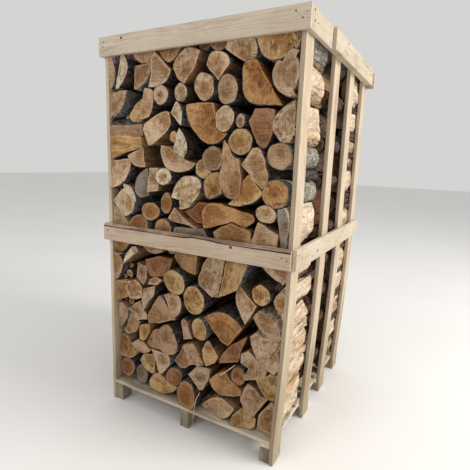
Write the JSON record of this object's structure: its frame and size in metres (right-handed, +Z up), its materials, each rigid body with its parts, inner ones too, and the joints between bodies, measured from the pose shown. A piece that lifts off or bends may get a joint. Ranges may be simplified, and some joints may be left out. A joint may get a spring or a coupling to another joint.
{
  "type": "pallet of firewood",
  "caption": "Tall open crate of sawn boards on a block pallet, filled with rows of split and round firewood logs laid front to back.",
  "frame": {"origin": "on the ground, under the middle of the crate's bounding box", "axes": "+Z up, -Y out of the front, where the log ends show between the two corner slats, and +X to the right seen from the front"},
  "size_m": [1.248, 1.266, 2.15],
  "materials": {
    "sawn_board": "rough sawn softwood, dry and bare",
    "weathered_board": "rough sawn softwood, grey and dirty from the ground",
    "log": "split and saw-cut logs with their bark on",
    "splinter": "fresh torn wood",
    "nail": "dull nail heads with a little rust"
  },
  "bodies": {
    "root": {"block_back_left": "weathered_board", "block_back_middle": "weathered_board", "block_back_right": "weathered_board", "block_front_left": "weathered_board", "block_front_middle": "weathered_board", "block_front_right": "weathered_board", "block_middle_left": "weathered_board", "block_middle_middle": "weathered_board", "block_middle_right": "weathered_board", "crosswise_log_lower_1": "log", "crosswise_log_lower_2": "log", "crosswise_log_lower_3": "log", "crosswise_log_upper_1": "log", "crosswise_log_upper_2": "log", "crosswise_log_upper_3": "log", "deck_board_1": "weathered_board", "deck_board_2": "weathered_board", "deck_board_3": "weathered_board", "deck_board_4": "weathered_board", "deck_board_5": "weathered_board", "deck_board_6": "weathered_board", "deck_board_7": "weathered_board", "logs_back_lower": "log", "logs_back_upper": "log", "logs_front_lower": "log", "logs_front_upper": "log", "logs_middle_lower": "log", "logs_middle_upper": "log", "middle_band_back": "sawn_board", "middle_band_front": "sawn_board", "middle_band_left": "sawn_board", "middle_band_right_back": "sawn_board", "middle_band_right_front": "sawn_board", "slat_left_1": "sawn_board", "slat_left_2": "sawn_board", "slat_left_3": "sawn_board", "slat_left_4": "sawn_board", "slat_right_1": "sawn_board", "slat_right_2": "sawn_board", "slat_right_3": "sawn_board", "slat_right_4": "sawn_board", "splinter_high": "splinter", "splinter_low": "splinter", "stringer_left": "weathered_board", "stringer_middle": "weathered_board", "stringer_right": "weathered_board", "top_band_back": "sawn_board", "top_band_front": "sawn_board", "top_band_left": "sawn_board", "top_band_left_lap": "sawn_board", "top_band_right": "sawn_board", "top_band_right_lap": "sawn_board"}
  },
  "joints": []
}
